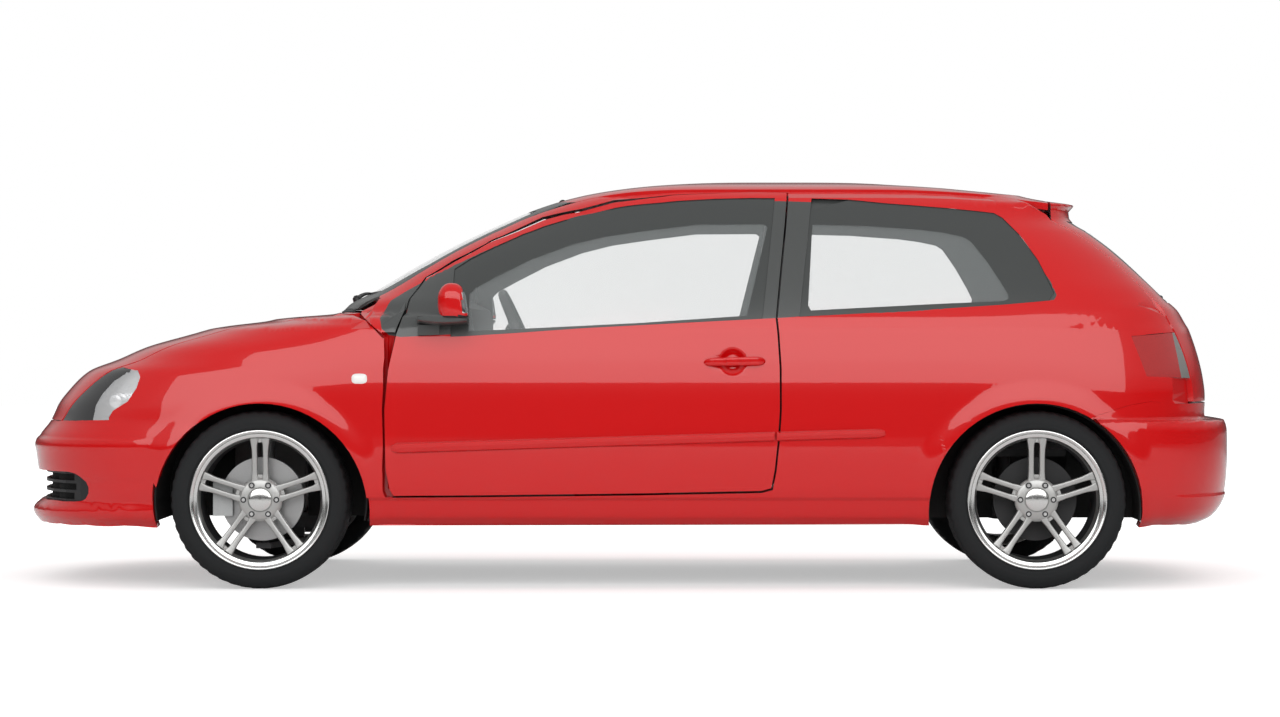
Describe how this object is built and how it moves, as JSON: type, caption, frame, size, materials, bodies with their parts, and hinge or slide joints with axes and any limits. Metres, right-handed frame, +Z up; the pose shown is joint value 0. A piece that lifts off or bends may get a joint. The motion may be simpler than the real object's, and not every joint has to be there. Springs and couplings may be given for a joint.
{
  "type": "three-door hatchback car",
  "caption": "Three-door hatchback car with opening doors, bonnet and tailgate, steered front wheels, a hollow cabin with seats, and separate body panels.",
  "frame": {"origin": "on the ground, midway along and across the car", "axes": "+X from the nose to the tail, +Y to the car's right, +Z up"},
  "size_m": [4.3005, 1.98, 1.4329],
  "materials": {
    "red_paint": "gloss",
    "black_trim": "matte",
    "grey_cabin": "matte",
    "glass": "clear",
    "clear_lamp": "clear lens",
    "red_lamp": "red lens",
    "alloy": "satin",
    "steel": "plain",
    "tyre_rubber": "matte"
  },
  "bodies": {
    "body": {"cowl_panel": "black_trim", "dashboard": "grey_cabin", "engine_block": "steel", "exhaust": "steel", "fender_left": "red_paint", "fender_right": "red_paint", "floor_pan": "black_trim", "front_bumper": "red_paint", "front_liner_left": "black_trim", "front_liner_right": "black_trim", "front_seat_left": "grey_cabin", "front_seat_right": "grey_cabin", "front_subframe": "steel", "headlamp_left": "clear_lamp", "headlamp_right": "clear_lamp", "lower_grille": "black_trim", "quarter_glass_left": "glass", "quarter_glass_right": "glass", "rear_axle": "steel", "rear_bumper": "red_paint", "rear_liner_left": "black_trim", "rear_liner_right": "black_trim", "rear_seat": "grey_cabin", "roof": "red_paint", "side_frame_left": "red_paint", "side_frame_right": "red_paint", "tail_lamp_left": "red_lamp", "tail_lamp_right": "red_lamp", "windscreen": "glass"},
    "door_left": {"door_left": "red_paint", "door_glass_left": "glass", "mirror_left": "red_paint"},
    "door_right": {"door_right": "red_paint", "door_glass_right": "glass", "mirror_right": "red_paint"},
    "bonnet": {"hood": "red_paint"},
    "tailgate": {"tailgate": "red_paint", "rear_glass": "glass"},
    "knuckle_left": {"knuckle_left": "steel"},
    "knuckle_right": {"knuckle_right": "steel"},
    "steering_wheel": {"steering_wheel": "grey_cabin"},
    "wheel_front_left": {"rim_front_left": "alloy", "tyre_front_left": "tyre_rubber"},
    "wheel_front_right": {"rim_front_right": "alloy", "tyre_front_right": "tyre_rubber"},
    "wheel_rear_left": {"rim_rear_left": "alloy", "tyre_rear_left": "tyre_rubber"},
    "wheel_rear_right": {"rim_rear_right": "alloy", "tyre_rear_right": "tyre_rubber"}
  },
  "joints": [
    {"name": "door_left_hinge", "type": "hinge", "parent": "body", "child": "door_left", "pos_m": [-0.80309, -0.85532, 0.6], "axis": [0, 0, -1], "range_deg": [0, 65]},
    {"name": "door_right_hinge", "type": "hinge", "parent": "body", "child": "door_right", "pos_m": [-0.80309, 0.85532, 0.6], "axis": [0, 0, 1], "range_deg": [0, 65]},
    {"name": "bonnet_hinge", "type": "hinge", "parent": "body", "child": "bonnet", "pos_m": [-0.87889, 0, 0.9453], "axis": [0, 1, 0], "range_deg": [0, 60]},
    {"name": "tailgate_hinge", "type": "hinge", "parent": "body", "child": "tailgate", "pos_m": [1.4474, 0, 1.35456], "axis": [0, -1, 0], "range_deg": [0, 78]},
    {"name": "steer_left", "type": "hinge", "parent": "body", "child": "knuckle_left", "pos_m": [-1.2656, -0.685, 0.18], "axis": [0, 0.2598, 0.9657], "range_deg": [-32, 32]},
    {"name": "steer_right", "type": "hinge", "parent": "body", "child": "knuckle_right", "pos_m": [-1.2656, 0.685, 0.18], "axis": [0, -0.2598, 0.9657], "range_deg": [-32, 32]},
    {"name": "steering_wheel_turn", "type": "hinge", "parent": "body", "child": "steering_wheel", "pos_m": [-0.37401, -0.37004, 0.8595], "axis": [0.9135, 0, 0.4067], "range_deg": [-480, 480]},
    {"name": "wheel_spin_front_left", "type": "hinge", "parent": "knuckle_left", "child": "wheel_front_left", "pos_m": [-1.2656, -0.735, 0.308], "axis": [0, 1, 0], "continuous": true},
    {"name": "wheel_spin_front_right", "type": "hinge", "parent": "knuckle_right", "child": "wheel_front_right", "pos_m": [-1.2656, 0.735, 0.308], "axis": [0, 1, 0], "continuous": true},
    {"name": "wheel_spin_rear_left", "type": "hinge", "parent": "body", "child": "wheel_rear_left", "pos_m": [1.4199, -0.735, 0.308], "axis": [0, 1, 0], "continuous": true},
    {"name": "wheel_spin_rear_right", "type": "hinge", "parent": "body", "child": "wheel_rear_right", "pos_m": [1.4199, 0.735, 0.308], "axis": [0, 1, 0], "continuous": true}
  ],
  "couplings": [
    {"joint": "steer_right", "follows": "steer_left", "ratio": 1},
    {"joint": "steering_wheel_turn", "follows": "steer_left", "ratio": 15}
  ]
}
